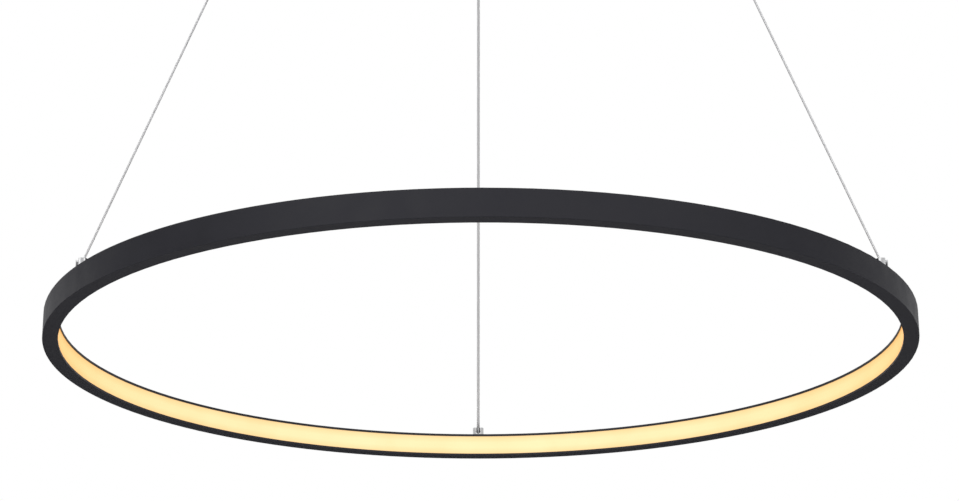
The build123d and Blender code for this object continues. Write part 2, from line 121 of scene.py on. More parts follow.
class Desk:
    """A node tree with short ways to add and join its nodes."""

    # A Mix node's colour sockets go by number, because its sockets of other kinds share their names.
    MIX_FIRST = 6
    MIX_SECOND = 7
    MIX_RESULT = 2

    def __init__(self, tree: bpy.types.NodeTree) -> None:
        """Take over a node tree.

        Args:
            tree: the tree that the nodes go into.
        """
        self.tree = tree

    def add(self, kind: str, **values: object) -> bpy.types.Node:
        """Add a node.

        Args:
            kind: the node's type name.
            values: attributes to set on it.

        Returns:
            The new node.
        """
        node = self.tree.nodes.new(kind)
        for key, value in values.items():
            setattr(node, key, value)
        return node

    def feed(self, socket: Socket, value: Socket | float | tuple) -> None:
        """Join a socket to another one, or set it to a constant.

        Args:
            socket: the input to fill.
            value: an output socket, a number or a tuple.
        """
        if isinstance(value, bpy.types.NodeSocket):
            self.tree.links.new(value, socket)
        else:
            socket.default_value = value

    def math(self, operation: str, first: Socket | float, second: Socket | float = 0.0,
             clamp: bool = False) -> Socket:
        """Add a math node.

        Args:
            operation: Blender's name of the operation.
            first: the first value.
            second: the second value.
            clamp: whether the result stays between 0 and 1.

        Returns:
            The result's socket.
        """
        node = self.add("ShaderNodeMath", operation=operation, use_clamp=clamp)
        self.feed(node.inputs[0], first)
        self.feed(node.inputs[1], second)
        return node.outputs[0]

    def stretch(self, value: Socket, low: float, high: float, to_low: float, to_high: float) -> Socket:
        """Map a value from one range to another, clamped.

        Args:
            value: what to map.
            low: the range's start.
            high: the range's end.
            to_low: what the start becomes.
            to_high: what the end becomes.

        Returns:
            The mapped value's socket.
        """
        node = self.add("ShaderNodeMapRange", clamp=True)
        self.feed(node.inputs["Value"], value)
        for name, number in (("From Min", low), ("From Max", high), ("To Min", to_low), ("To Max", to_high)):
            node.inputs[name].default_value = number
        return node.outputs["Result"]

    def blend(self, share: Socket, first: Socket | Colour, second: Socket | Colour) -> Socket:
        """Mix two colours.

        Args:
            share: how much of the second colour shows.
            first: the colour at 0.
            second: the colour at 1.

        Returns:
            The mixed colour's socket.
        """
        node = self.add("ShaderNodeMix", data_type="RGBA")
        self.feed(node.inputs["Factor"], share)
        for number, value in ((self.MIX_FIRST, first), (self.MIX_SECOND, second)):
            self.feed(node.inputs[number], (*value, 1.0) if isinstance(value, tuple) else value)
        return node.outputs[self.MIX_RESULT]

    def group(self, tree: bpy.types.NodeTree, **values: Socket | float | tuple) -> bpy.types.Node:
        """Place a node group.

        Args:
            tree: the group.
            values: what its inputs get, by name.

        Returns:
            The group's node.
        """
        node = self.add("ShaderNodeGroup", node_tree=tree)
        for name, value in values.items():
            self.feed(node.inputs[name], value)
        return node

    def place(self) -> Socket:
        """The surface's own coordinates, in metres."""
        return self.add("ShaderNodeTexCoord").outputs["Object"]

    def noise(self, scale: Socket | float, detail: float, at: Socket) -> Socket:
        """Add a noise texture.

        Args:
            scale: its scale, per metre.
            detail: its octaves.
            at: the coordinates that it is read at.

        Returns:
            The noise value's socket.
        """
        node = self.add("ShaderNodeTexNoise", noise_dimensions="3D")
        self.feed(node.inputs["Vector"], at)
        self.feed(node.inputs["Scale"], scale)
        node.inputs["Detail"].default_value = detail
        return node.outputs["Fac"]


@dataclass
class Effects:
    """The node groups that several finishes share, each made once."""

    coarse_scale: float = 0.28
    mottle_scale: float = 0.02
    fine_share: float = 0.65
    grain_detail: float = 2.0
    mottle_detail: float = 3.0
    turned_mottle: float = 420.0
    edge_band: Span = (0.97, 0.72)
    edge_samples: int = 4
    break_scale: float = 700.0
    break_detail: float = 4.0
    break_band: Span = (0.42, 0.68)

    def __post_init__(self) -> None:
        """Build the groups."""
        self.grain = self._grain()
        self.turned = self._turned()
        self.wear_and_highlight = self._wear_and_highlight()

    @staticmethod
    def _start(name: str, inputs: dict[str, tuple[str, object]],
               outputs: tuple[str, ...]) -> tuple[Desk, bpy.types.Node, bpy.types.Node]:
        """Open a new group.

        Args:
            name: the group's name.
            inputs: socket kind and default of each input.
            outputs: names of the value outputs.

        Returns:
            The group's desk, its input node and its output node.
        """
        tree = bpy.data.node_groups.new(name, "ShaderNodeTree")
        for key, (kind, value) in inputs.items():
            socket = tree.interface.new_socket(key, in_out="INPUT", socket_type=kind)
            socket.default_value = value
        for key in outputs:
            tree.interface.new_socket(key, in_out="OUTPUT", socket_type="NodeSocketFloat")
        desk = Desk(tree)
        return desk, desk.add("NodeGroupInput"), desk.add("NodeGroupOutput")

    def _grain(self) -> bpy.types.NodeTree:
        """Fine grain with a slow mottle, for coats and mouldings.

        Returns:
            The group, with outputs Height and Mottle.
        """
        inputs = {"Scale": ("NodeSocketFloat", 1500.0)}
        desk, start, end = self._start("fine_grain", inputs, ("Height", "Mottle"))
        at = desk.place()
        scale = start.outputs["Scale"]
        fine = desk.noise(scale, self.grain_detail, at)
        coarse = desk.noise(desk.math("MULTIPLY", scale, self.coarse_scale), self.grain_detail, at)
        fine = desk.math("MULTIPLY", fine, self.fine_share)
        coarse = desk.math("MULTIPLY", coarse, 1 - self.fine_share)
        desk.feed(end.inputs["Height"], desk.math("ADD", fine, coarse))
        mottle = desk.noise(desk.math("MULTIPLY", scale, self.mottle_scale), self.mottle_detail, at)
        desk.feed(end.inputs["Mottle"], mottle)
        return desk.tree

    def _turned(self) -> bpy.types.NodeTree:
        """Fine lines round an axis, as a lathe or a drawing die leaves them.

        Returns:
            The group, with outputs Height and Mottle.
        """
        inputs = {"Axis": ("NodeSocketVector", UP), "Scale": ("NodeSocketFloat", 6000.0)}
        desk, start, end = self._start("turned_lines", inputs, ("Height", "Mottle"))
        at = desk.place()
        along = desk.add("ShaderNodeVectorMath", operation="DOT_PRODUCT")
        desk.feed(along.inputs[0], at)
        desk.feed(along.inputs[1], start.outputs["Axis"])
        lines = desk.add("ShaderNodeTexNoise", noise_dimensions="1D")
        desk.feed(lines.inputs["W"], along.outputs["Value"])
        desk.feed(lines.inputs["Scale"], start.outputs["Scale"])
        lines.inputs["Detail"].default_value = self.grain_detail
        desk.feed(end.inputs["Height"], lines.outputs["Fac"])
        desk.feed(end.inputs["Mottle"], desk.noise(self.turned_mottle, self.mottle_detail, at))
        return desk.tree

    def _wear_and_highlight(self) -> bpy.types.NodeTree:
        """A broken mask along sharp edges, for paler worn edges on mouldings and a painted highlight along
        the black coat's edges.

        Returns:
            The group, with the output Mask.
        """
        inputs = {"Radius": ("NodeSocketFloat", 0.0006), "Amount": ("NodeSocketFloat", 0.5)}
        desk, start, end = self._start("edge_wear_and_highlight", inputs, ("Mask",))
        rounded = desk.add("ShaderNodeBevel", samples=self.edge_samples)
        desk.feed(rounded.inputs["Radius"], start.outputs["Radius"])
        turn = desk.add("ShaderNodeVectorMath", operation="DOT_PRODUCT")
        desk.feed(turn.inputs[0], rounded.outputs["Normal"])
        desk.feed(turn.inputs[1], desk.add("ShaderNodeNewGeometry").outputs["Normal"])
        edge = desk.stretch(turn.outputs["Value"], *self.edge_band, 0.0, 1.0)
        breaks = desk.noise(self.break_scale, self.break_detail, desk.place())
        breaks = desk.stretch(breaks, *self.break_band, 0.0, 1.0)
        mask = desk.math("MULTIPLY", desk.math("MULTIPLY", edge, breaks), start.outputs["Amount"], clamp=True)
        desk.feed(end.inputs["Mask"], mask)
        return desk.tree


@dataclass(frozen=True)
class Finish:
    """A surface of one colour and gloss; the kinds below vary it."""

    name: str
    colour: Colour
    roughness: float

    def material(self, effects: Effects) -> bpy.types.Material:
        """Make the material.

        Args:
            effects: the shared node groups.

        Returns:
            The finished material.
        """
        made = bpy.data.materials.new(self.name)
        made.use_nodes = True
        made.diffuse_color = (*self.colour, 1.0)
        desk = Desk(made.node_tree)
        shader = made.node_tree.nodes["Principled BSDF"]
        shader.inputs["Base Color"].default_value = (*self.colour, 1.0)
        shader.inputs["Roughness"].default_value = self.roughness
        self.dress(desk, shader.inputs, effects)
        return made

    def dress(self, desk: Desk, sockets: Sockets, effects: Effects) -> None:
        """Vary the surface.

        Args:
            desk: the material's nodes.
            sockets: the shader's inputs.
            effects: the shared node groups.
        """

    @staticmethod
    def emboss(desk: Desk, sockets: Sockets, height: Socket, depth: float) -> None:
        """Raise a height pattern on the surface.

        Args:
            desk: the material's nodes.
            sockets: the shader's inputs.
            height: the pattern.
            depth: its depth, in metres.
        """
        bump = desk.add("ShaderNodeBump")
        bump.inputs["Distance"].default_value = depth
        desk.feed(bump.inputs["Height"], height)
        desk.feed(sockets["Normal"], bump.outputs["Normal"])


@dataclass(frozen=True)
class PowderCoat(Finish):
    """A matt stoved coat with a fine grit, a slow mottle and a painted highlight that lightens its edges a
    little.
    """

    mottle: Colour = (0.018, 0.0178, 0.0245)
    # Lighter colour painted along the coat's edges as a highlight.
    painted_edge_highlight: Colour = (0.045, 0.045, 0.048)
    grit: float = 2200.0
    gloss: float = 0.3
    depth: float = 0.00008
    uneven: float = 0.05
    wear_and_highlight_radius: float = 0.0005
    wear_and_highlight_amount: float = 0.35

    def dress(self, desk: Desk, sockets: Sockets, effects: Effects) -> None:
        """Add the grit, the mottle and the painted highlight along the edges.

        Args:
            desk: the material's nodes.
            sockets: the shader's inputs.
            effects: the shared node groups.
        """
        grain = desk.group(effects.grain, Scale=self.grit)
        wear_and_highlight = desk.group(effects.wear_and_highlight, Radius=self.wear_and_highlight_radius, Amount=self.wear_and_highlight_amount)
        coat = desk.blend(grain.outputs["Mottle"], self.colour, self.mottle)
        # Paints the edge highlight: the lighter colour over the coat along its edges.
        desk.feed(sockets["Base Color"], desk.blend(wear_and_highlight.outputs["Mask"], coat, self.painted_edge_highlight))
        rough = (self.roughness - self.uneven, self.roughness + self.uneven)
        desk.feed(sockets["Roughness"], desk.stretch(grain.outputs["Mottle"], *NOISE_BAND, *rough))
        sockets["Specular IOR Level"].default_value = self.gloss
        self.emboss(desk, sockets, grain.outputs["Height"], self.depth)


@dataclass(frozen=True)
class OpalGlow(Finish):
    """An opal band that is lit from behind: brightest along its middle, warmer towards its lips.

    The core is the share of its half height that keeps the full glow, and the skin tints it at a slant.
    """

    middle: float = 0.0
    half_height: float = 0.01
    glow: Colour = (1.08, 0.905, 0.582)
    lip: Colour = (0.94, 0.735, 0.403)
    skin: Colour = (0.985, 0.886, 0.765)
    strength: float = 1.0
    core: float = 0.25
    cloud_scale: float = 900.0
    cloud_band: Span = (0.35, 0.65)
    cloud_shift: Span = (-0.12, 0.24)
    skin_roughness: float = 0.35
    skin_ior: float = 1.03
    gloss: float = 0.1

    def dress(self, desk: Desk, sockets: Sockets, effects: Effects) -> None:
        """Add the glow's gradient.

        Args:
            desk: the material's nodes.
            sockets: the shader's inputs.
            effects: the shared node groups.
        """
        parts = desk.add("ShaderNodeSeparateXYZ")
        desk.feed(parts.inputs[0], desk.place())
        away = desk.math("ABSOLUTE", desk.math("SUBTRACT", parts.outputs["Z"], self.middle))
        share = desk.stretch(away, self.core * self.half_height, self.half_height, 0.0, 1.0)
        cloud = desk.group(effects.grain, Scale=self.cloud_scale).outputs["Mottle"]
        uneven = desk.stretch(cloud, *self.cloud_band, *self.cloud_shift)
        light = desk.blend(desk.math("ADD", share, uneven, clamp=True), self.glow, self.lip)
        desk.feed(sockets["Emission Color"], light)
        sockets["Emission Strength"].default_value = self.strength
        sockets["Coat Weight"].default_value = 1.0
        sockets["Coat Roughness"].default_value = self.skin_roughness
        sockets["Coat IOR"].default_value = self.skin_ior
        sockets["Coat Tint"].default_value = (*self.skin, 1.0)
        sockets["Specular IOR Level"].default_value = self.gloss


@dataclass(frozen=True)
class TurnedMetal(Finish):
    """Bare or plated metal with fine turning marks and slight tarnish."""

    axis: Place = UP
    tarnish: Colour = (0.45, 0.45, 0.46)
    marks: float = 6000.0
    depth: float = 0.000004
    dull_band: Span = (0.45, 0.75)
    dullest: float = 0.5
    polish: Span = (0.7, 1.4)

    def dress(self, desk: Desk, sockets: Sockets, effects: Effects) -> None:
        """Add the marks and the tarnish.

        Args:
            desk: the material's nodes.
            sockets: the shader's inputs.
            effects: the shared node groups.
        """
        lines = desk.group(effects.turned, Axis=self.axis, Scale=self.marks)
        dull = desk.stretch(lines.outputs["Mottle"], *self.dull_band, 0.0, self.dullest)
        desk.feed(sockets["Base Color"], desk.blend(dull, self.colour, self.tarnish))
        rough = (share * self.roughness for share in self.polish)
        desk.feed(sockets["Roughness"], desk.stretch(lines.outputs["Height"], *NOISE_BAND, *rough))
        sockets["Metallic"].default_value = 1.0
        self.emboss(desk, sockets, lines.outputs["Height"], self.depth)


@dataclass(frozen=True)
class Moulded(Finish):
    """A moulded or coated plastic with a fine grain, a mottle and edges worn paler."""

    mottle: Colour = (0.8, 0.8, 0.78)
    worn: Colour = (0.95, 0.95, 0.95)
    grit: float = 1400.0
    depth: float = 0.00003
    mottle_band: Span = (0.35, 0.7)
    uneven: float = 0.06
    wear_and_highlight_radius: float = 0.0004
    wear_and_highlight_amount: float = 0.4

    def dress(self, desk: Desk, sockets: Sockets, effects: Effects) -> None:
        """Add the grain, the mottle and the worn edges.

        Args:
            desk: the material's nodes.
            sockets: the shader's inputs.
            effects: the shared node groups.
        """
        grain = desk.group(effects.grain, Scale=self.grit)
        wear_and_highlight = desk.group(effects.wear_and_highlight, Radius=self.wear_and_highlight_radius, Amount=self.wear_and_highlight_amount)
        share = desk.stretch(grain.outputs["Mottle"], *self.mottle_band, 0.0, 1.0)
        skin = desk.blend(share, self.colour, self.mottle)
        desk.feed(sockets["Base Color"], desk.blend(wear_and_highlight.outputs["Mask"], skin, self.worn))
        rough = (self.roughness - self.uneven, self.roughness + self.uneven)
        desk.feed(sockets["Roughness"], desk.stretch(grain.outputs["Height"], *NOISE_BAND, *rough))
        self.emboss(desk, sockets, grain.outputs["Height"], self.depth)


@dataclass(frozen=True)
class ClearTube(Finish):
    """A soft plastic that lets some light through, with a faint haze."""

    haze_scale: float = 1800.0
    clearest: float = 0.6
    clearness: float = 0.22
    ior: float = 1.45

    def dress(self, desk: Desk, sockets: Sockets, effects: Effects) -> None:
        """Add the haze.

        Args:
            desk: the material's nodes.
            sockets: the shader's inputs.
            effects: the shared node groups.
        """
        haze = desk.group(effects.grain, Scale=self.haze_scale).outputs["Height"]
        rough = (self.clearest * self.roughness, self.roughness)
        desk.feed(sockets["Roughness"], desk.stretch(haze, *NOISE_BAND, *rough))
        sockets["Transmission Weight"].default_value = self.clearness
        sockets["IOR"].default_value = self.ior


@dataclass(frozen=True)
class LineRoute:
    """A taut line from its swivel in the canopy to its anchor on the ring, in metres."""

    line: Line
    exit_radius: float = 0.080
    anchor_radius: float = 0.393
    pivot_level: float = -0.0375
    pin_level: float = -0.8275
    spline_steps: int = 48
    spline_order: int = 3

    @property
    def pivot(self) -> Vector:
        """The middle of the line's swivel."""
        return self._around(self.exit_radius, self.pivot_level)

    @property
    def anchor(self) -> Vector:
        """The middle of the line's cross pin on the ring."""
        return self._around(self.anchor_radius, self.pin_level)

    @property
    def length(self) -> float:
        """From the swivel's middle to the cross pin."""
        return (self.anchor - self.pivot).length

    def _around(self, radius: float, level: float) -> Vector:
        """A point at the line's azimuth."""
        turn = math.radians(self.line.value)
        return Vector((radius * math.cos(turn), radius * math.sin(turn), level))

    def down(self, distance: float) -> Vector:
        """A point on the line, at a distance below its swivel."""
        return self.pivot.lerp(self.anchor, distance / self.length)

    def points(self, start: float, end: float) -> np.ndarray:
        """Read points along the line from one smooth spline.

        Args:
            start: where the piece starts, as a distance below the swivel.
            end: where it ends.

        Returns:
            The points, one row each.
        """
        curve = bpy.data.curves.new("route", "CURVE")
        curve.dimensions = "3D"
        curve.resolution_u = self.spline_steps
        spline = curve.splines.new("NURBS")
        stops = (start, (start + end) / 2, end)
        spline.points.add(len(stops) - 1)
        for point, stop in zip(spline.points, stops):
            point.co = (*self.down(stop), 1.0)
        spline.order_u = self.spline_order
        spline.use_endpoint_u = True
        holder = bpy.data.objects.new("route", curve)
        mesh = bpy.data.meshes.new_from_object(holder)
        found = np.array([v.co for v in mesh.vertices], float)
        bpy.data.objects.remove(holder)
        bpy.data.meshes.remove(mesh)
        bpy.data.curves.remove(curve)
        return found


class Tubes:
    """Round tubes along points, gathered into one mesh."""

    def __init__(self) -> None:
        """Start with no tubes."""
        self.places: list[np.ndarray] = []
        self.faces: list[tuple[int, ...]] = []
        self.count = 0

    def add(self, route: np.ndarray, radius: float, sides: int, lay: float = 0.0, offset: float = 0.0,
            start: float = 0.0, steps: int = 0) -> None:
        """Add a tube, straight along a route or wound round it.

        Args:
            route: points along the route.
            radius: the tube's radius.
            sides: how many sides its section has.
            lay: the length of one turn, where it is wound.
            offset: its middle's distance from the route, where it is wound.
            start: the angle at which the winding starts.
            steps: how many sections it gets; 0 takes the route's own points.
        """
        runs = np.concatenate(([0.0], np.cumsum(np.linalg.norm(np.diff(route, axis=0), axis=1))))
        at = np.linspace(0.0, runs[-1], steps) if steps else runs
        middle = np.stack([np.interp(at, runs, route[:, k]) for k in range(3)], axis=1)
        side, other = self._square(route)
        turn = start + (FULL_TURN * at / lay if lay else np.zeros(len(at)))
        outward = np.outer(np.cos(turn), side) + np.outer(np.sin(turn), other)
        middle = middle + offset * outward
        tangent = np.gradient(middle, axis=0)
        tangent /= np.linalg.norm(tangent, axis=1)[:, None]
        across = np.cross(tangent, outward)
        self._skin(middle, outward, across, radius, sides)

    def hollow(self, route: np.ndarray, radius: float, bore: float, sides: int) -> None:
        """Add a pipe with a bore along a route.

        Args:
            route: points along the route.
            radius: the outer radius.
            bore: the inner radius.
            sides: how many sides its section has.
        """
        side, other = self._square(route)
        angles = FULL_TURN * np.arange(sides) / sides
        spoke = np.outer(np.cos(angles), side) + np.outer(np.sin(angles), other)
        outer, inner = (self._lay(route[:, None] + reach * spoke[None]) for reach in (radius, bore))
        loop = [*reversed(outer), *inner]
        for near, far in zip(loop, [*loop[1:], loop[0]]):
            self._join(near, far)

    @staticmethod
    def _square(route: np.ndarray) -> tuple[np.ndarray, np.ndarray]:
        """Find two directions that are square to a route and to each other.

        Args:
            route: points along the route.

        Returns:
            The level direction and the other one.
        """
        heading = (route[-1] - route[0]) / np.linalg.norm(route[-1] - route[0])
        side = np.cross(heading, UP)
        side /= np.linalg.norm(side)
        return side, np.cross(heading, side)

    def _skin(self, middle: np.ndarray, first: np.ndarray, second: np.ndarray, radius: float,
              sides: int) -> None:
        """Lay the sections of one tube and close them into faces.

        Args:
            middle: the sections' middles.
            first: a direction across each section.
            second: the direction square to it.
            radius: the tube's radius.
            sides: how many sides a section has.
        """
        angles = FULL_TURN * np.arange(sides) / sides
        cosines, sines = np.cos(angles)[None, :, None], np.sin(angles)[None, :, None]
        rings = self._lay(middle[:, None] + radius * (first[:, None] * cosines + second[:, None] * sines))
        for near, far in zip(rings, rings[1:]):
            self._join(near, far)
        self.faces += [tuple(reversed(rings[0])), tuple(rings[-1])]

    def _lay(self, rings: np.ndarray) -> list[range]:
        """Take in rings of points.

        Args:
            rings: the points, by ring, side and axis.

        Returns:
            The numbers of each ring's points.
        """
        rows, sides = rings.shape[:2]
        starts = range(self.count, self.count + rows * sides, sides)
        self.places.append(rings.reshape(-1, 3))
        self.count += rows * sides
        return [range(start, start + sides) for start in starts]

    def _join(self, near: range, far: range) -> None:
        """Close the strip between two rings with faces.

        Args:
            near: the numbers of one ring's points.
            far: those of the other ring.
        """
        for k in range(len(near)):
            after = (k + 1) % len(near)
            self.faces.append((near[k], near[after], far[after], far[k]))

    def piece(self, name: str) -> bpy.types.Object:
        """Make the mesh object.

        Args:
            name: the piece's name.

        Returns:
            The object, linked to the scene.
        """
        mesh = new_mesh(name, np.concatenate(self.places).tolist(), self.faces)
        mesh.polygons.foreach_set("use_smooth", [len(p.vertices) == 4 for p in mesh.polygons])
        mesh.validate()
        return put(name, mesh)


@dataclass
class Rope:
    """A wire rope: a smooth core under an outer layer of fine wires."""

    diameter: float
    lay: float
    strands: int = 12
    steps_per_turn: int = 9
    sides: int = 6

    def wind(self, tubes: Tubes, route: np.ndarray) -> None:
        """Lay the strands.

        Args:
            tubes: where the strands go.
            route: points along the rope.
        """
        pitch = math.sin(math.pi / self.strands)
        strand = self.diameter / 2 * pitch / (1 + pitch)
        middle = self.diameter / 2 - strand
        length = float(np.linalg.norm(route[-1] - route[0]))
        steps = int(length / self.lay * self.steps_per_turn)
        tubes.add(route, middle, 2 * self.strands)
        for number in range(self.strands):
            tubes.add(route, strand, self.sides, self.lay, middle, FULL_TURN * number / self.strands, steps)


@dataclass
class Suspension:
    """The three lines between the canopy and the ring, in metres.

    A tail is measured down from the swivel, so it is negative above it, and the seat up from the cross pin.
    """

    tail: float = -0.012
    sheath_tail: float = -0.008
    seat: float = 0.0034
    wire_diameter: float = 0.0020
    wire_lay: float = 0.014
    feed_diameter: float = 0.0032
    feed_bore: float = 0.0025
    core_diameter: float = 0.0009
    core_lay: float = 0.007
    conductor_diameter: float = 0.00075
    conductor_offset: float = 0.000845
    conductor_lay: float = 0.013
    conductor_sides: int = 10
    conductor_steps: int = 14
    sheath_sides: int = 24
    full_drop: float = 0.7900
    raised_drop: float = 0.5400

    @property
    def raised_share(self) -> float:
        """The share of the lines' drop that is left when the ring hangs highest."""
        return self.raised_drop / self.full_drop

    def build(self, surfaces: Surfaces) -> list[bpy.types.Object]:
        """Make and hang the lines.

        Args:
            surfaces: the materials, by record slot.

        Returns:
            The pieces.
        """
        made = [self._wire(line, surfaces) for line in (Line.LEFT, Line.RIGHT)]
        return made + self._feed(surfaces)

    def _hang(self, piece: bpy.types.Object, route: LineRoute, node: str, slot: str,
              surfaces: Surfaces) -> None:
        """Dress a line's piece and tie it to its hanger.

        Args:
            piece: the piece.
            route: its line.
            node: the solid that it stands for.
            slot: the record slot of its finish.
            surfaces: the materials, by record slot.
        """
        piece.data.materials.append(surfaces[slot])
        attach(piece, f"hanger_{route.line.label}")
        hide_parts(node)
        tuple(route.pivot)
        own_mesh(piece)

    def _wire(self, line: Line, surfaces: Surfaces) -> bpy.types.Object:
        """Make a bare steel line.

        Args:
            line: which line.
            surfaces: the materials, by record slot.

        Returns:
            The piece.
        """
        route = LineRoute(line)
        points = route.points(self.tail, route.length - self.seat)
        tubes = Tubes()
        Rope(self.wire_diameter, self.wire_lay).wind(tubes, points)
        piece = tubes.piece(f"steel_wire_{line.label}")
        self._hang(piece, route, f"suspension_wire_{line.label}", "steel_line", surfaces)
        route.length - self.seat - self.tail
        return piece

    def _feed(self, surfaces: Surfaces) -> list[bpy.types.Object]:
        """Make the feed line: core, conductors wound round it and the clear sheath.

        Args:
            surfaces: the materials, by record slot.

        Returns:
            The pieces.
        """
        route = LineRoute(Line.BACK)
        foot = route.length - self.seat
        points = route.points(self.sheath_tail, foot)
        core = Tubes()
        Rope(self.core_diameter, self.core_lay).wind(core, points)
        pair = Tubes()
        steps = int((foot - self.sheath_tail) / self.conductor_lay * self.conductor_steps)
        for start in (0.0, math.pi):
            pair.add(
                points, self.conductor_diameter / 2, self.conductor_sides, self.conductor_lay,
                self.conductor_offset, start, steps,
            )
        sheath = Tubes()
        sheath.hollow(points, self.feed_diameter / 2, self.feed_bore / 2, self.sheath_sides)
        pieces = [core.piece("feed_rope"), pair.piece("feed_pair"), sheath.piece("feed_cover")]
        nodes = ("feed_core", "feed_conductors", "feed_sheath")
        for piece, node, slot in zip(pieces, nodes, ("steel_line", "tinned_copper", "clear_sheath")):
            self._hang(piece, route, node, slot, surfaces)
        return pieces


@dataclass
class Springs:
    """The coil springs in the grippers.

    Top and foot are measured down the line from its swivel, in metres.
    """

    top: float = 0.013
    foot: float = 0.023
    wire: float = 0.0005
    diameter: float = 0.0066
    turns: int = 4
    steps_per_turn: int = 28
    sides: int = 10
    travel: float = 0.0016

    def build(self, surfaces: Surfaces) -> list[bpy.types.Object]:
        """Make the springs and tie them to the grippers.

        Args:
            surfaces: the materials, by record slot.

        Returns:
            The pieces.
        """
        return [self._coil(line, surfaces) for line in Line]

    def _coil(self, line: Line, surfaces: Surfaces) -> bpy.types.Object:
        """Make one spring.

        Args:
            line: the line whose gripper holds it.
            surfaces: the materials, by record slot.

        Returns:
            The piece.
        """
        route = LineRoute(line)
        points = route.points(self.top + self.wire / 2, self.foot - self.wire / 2)
        lay = (self.foot - self.top - self.wire) / self.turns
        offset = (self.diameter - self.wire) / 2
        tubes = Tubes()
        tubes.add(points, self.wire / 2, self.sides, lay, offset, steps=self.turns * self.steps_per_turn)
        piece = tubes.piece(f"gripper_coil_{line.label}")
        piece.data.materials.append(surfaces["spring_steel"])
        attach(piece, f"gripper_{line.label}")
        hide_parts(f"gripper_spring_{line.label}")
        tuple(route.pivot - route.anchor)
        tuple(route.down(self.top))
        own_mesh(piece)
        return piece


@dataclass
class PanScrews:
    """The two screws in the canopy's side, with domed heads and crossed recesses, in metres and radians."""

    name: str = "canopy_pan_screws"
    node: str = "canopy_screws"
    finish: str = "zinc"
    shank_radius: float = 0.0020
    shank_length: float = 0.0090
    point: float = 0.0005
    head_height: float = 0.0024
    rim_height: float = 0.0009
    recess_length: float = 0.0044
    recess_width: float = 0.0010
    recess_depth: float = 0.0015
    recess_taper: float = 0.55
    recess_turn: float = 0.4
    dome_steps: int = 8
    sides: int = 48
    crease: float = 0.6

    def build(self, surfaces: Surfaces) -> bpy.types.Object:
        """Make the screws in the places of their solids.

        Args:
            surfaces: the materials, by record slot.

        Returns:
            The piece.
        """
        low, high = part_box(self.node)
        level, head_radius = (low[2] + high[2]) / 2, (high[2] - low[2]) / 2
        seat = Matrix.Translation((high[0] - self.head_height, 0.0, level))
        screw = self._cut(self._turned(head_radius), self._cross())
        corners, faces = [], []
        for half_turn in (0.0, math.pi):
            place = Matrix.Rotation(half_turn, 4, "Z") @ seat
            faces += [tuple(len(corners) + k for k in face.vertices) for face in screw.polygons]
            corners += [tuple(place @ corner.co) for corner in screw.vertices]
        bpy.data.meshes.remove(screw)
        mesh = new_mesh(self.name, corners, faces)
        mesh.shade_smooth()
        mesh.set_sharp_from_angle(angle=self.crease)
        mesh.materials.append(surfaces[self.finish])
        piece = put(self.name, mesh)
        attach(piece, "canopy")
        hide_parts(self.node)
        return piece

    def _turned(self, head_radius: float) -> bpy.types.Mesh:
        """Turn the screw about X, with the underside of its head at 0.

        Args:
            head_radius: the head's radius.

        Returns:
            The closed mesh.
        """
        bends = [math.pi / 2 * k / self.dome_steps for k in range(self.dome_steps)]
        dome = self.head_height - self.rim_height
        outline = [
            (-self.shank_length, self.shank_radius - self.point),
            (self.point - self.shank_length, self.shank_radius),
            (0.0, self.shank_radius),
            (0.0, head_radius),
            *((self.rim_height + dome * math.sin(bend), head_radius * math.cos(bend)) for bend in bends),
        ]
        turns = [FULL_TURN * k / self.sides for k in range(self.sides)]
        corners = [
            (along, reach * math.cos(turn), reach * math.sin(turn))
            for along, reach in outline
            for turn in turns
        ]
        corners += [(-self.shank_length, 0.0, 0.0), (self.head_height, 0.0, 0.0)]
        tip, top, last = len(corners) - 2, len(corners) - 1, (len(outline) - 1) * self.sides
        faces = []
        for k in range(self.sides):
            after = (k + 1) % self.sides
            faces += [(tip, after, k), (last + k, last + after, top)]
            for row in range(0, last, self.sides):
                faces.append((row + k, row + after, row + self.sides + after, row + self.sides + k))
        return new_mesh("screw", corners, faces)

    def _cross(self) -> bpy.types.Mesh:
        """Make the tapered cross that the recess takes out.

        Returns:
            The closed mesh.
        """
        far, near = self.recess_length / 2, self.recess_width / 2
        arm = [(far, -near), (far, near), (near, near)]
        outline = []
        for quarter in range(4):
            turn = self.recess_turn + quarter * math.pi / 2
            cosine, sine = math.cos(turn), math.sin(turn)
            outline += [(y * cosine - z * sine, y * sine + z * cosine) for y, z in arm]
        count = len(outline)
        floor, roof = self.head_height - self.recess_depth, self.head_height + self.recess_depth
        corners = [(floor, self.recess_taper * y, self.recess_taper * z) for y, z in outline]
        corners += [(roof, (2 - self.recess_taper) * y, (2 - self.recess_taper) * z) for y, z in outline]
        faces = [tuple(reversed(range(count))), tuple(range(count, 2 * count))]
        faces += [(k, (k + 1) % count, count + (k + 1) % count, count + k) for k in range(count)]
        return new_mesh("cross", corners, faces)

    @staticmethod
    def _cut(body: bpy.types.Mesh, cutter: bpy.types.Mesh) -> bpy.types.Mesh:
        """Take one closed mesh out of another.

        Args:
            body: the mesh that is cut; it is used up.
            cutter: the mesh that is taken out; it is used up.

        Returns:
            The mesh that is left.
        """
        holders = [put(mesh.name, mesh) for mesh in (body, cutter)]
        change = holders[0].modifiers.new("recess", "BOOLEAN")
        change.operation = "DIFFERENCE"
        change.solver = "EXACT"
        change.object = holders[1]
        graph = bpy.context.evaluated_depsgraph_get()
        left = bpy.data.meshes.new_from_object(holders[0].evaluated_get(graph))
        for holder in holders:
            bpy.data.objects.remove(holder)
        for mesh in (body, cutter):
            bpy.data.meshes.remove(mesh)
        return left


@dataclass(frozen=True)
class Lamp:
    """A broad soft lamp, with its strength and the angles, in degrees, that it is aimed and spread by."""

    name: str
    strength: float
    pitch: float
    heading: float
    spread: float = 50.0


